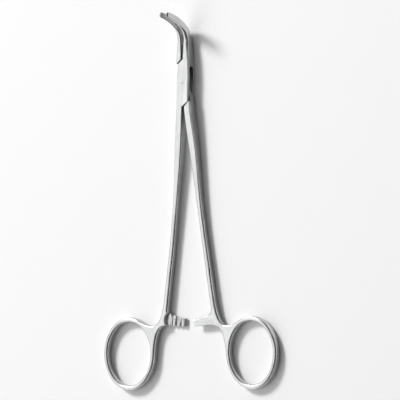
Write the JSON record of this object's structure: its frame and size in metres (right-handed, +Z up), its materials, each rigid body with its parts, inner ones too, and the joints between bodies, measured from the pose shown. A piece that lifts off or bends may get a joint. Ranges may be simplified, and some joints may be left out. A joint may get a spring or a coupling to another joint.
{
  "type": "gall duct forceps",
  "caption": "Ring-handled surgical forceps with a box lock, curved jaws grooved lengthwise, slim shanks and a toothed ratchet that holds it shut.",
  "frame": {"origin": "on the axis of the lock pin, at the back face of the box, on which the forceps lies", "axes": "+Z up along the lock pin, the way the jaws curve; +Y along the forceps from the rings towards the jaw tips; +X across it"},
  "size_m": [0.1134, 0.1904, 0.0197],
  "materials": {
    "steel": "polished surgical stainless steel with a fine satin grain",
    "pin_steel": "stainless steel rivet, ground flush and polished with the box"
  },
  "bodies": {
    "box_half": {"box_half": "steel", "lock_pin": "pin_steel"},
    "tenon_half": {"tenon_half": "steel"}
  },
  "joints": [
    {"name": "box_lock_hinge", "type": "hinge", "parent": "box_half", "child": "tenon_half", "pos_m": [0, 0, 0], "axis": [0, 0, 1], "range_deg": [-6.5, 38.5]}
  ]
}
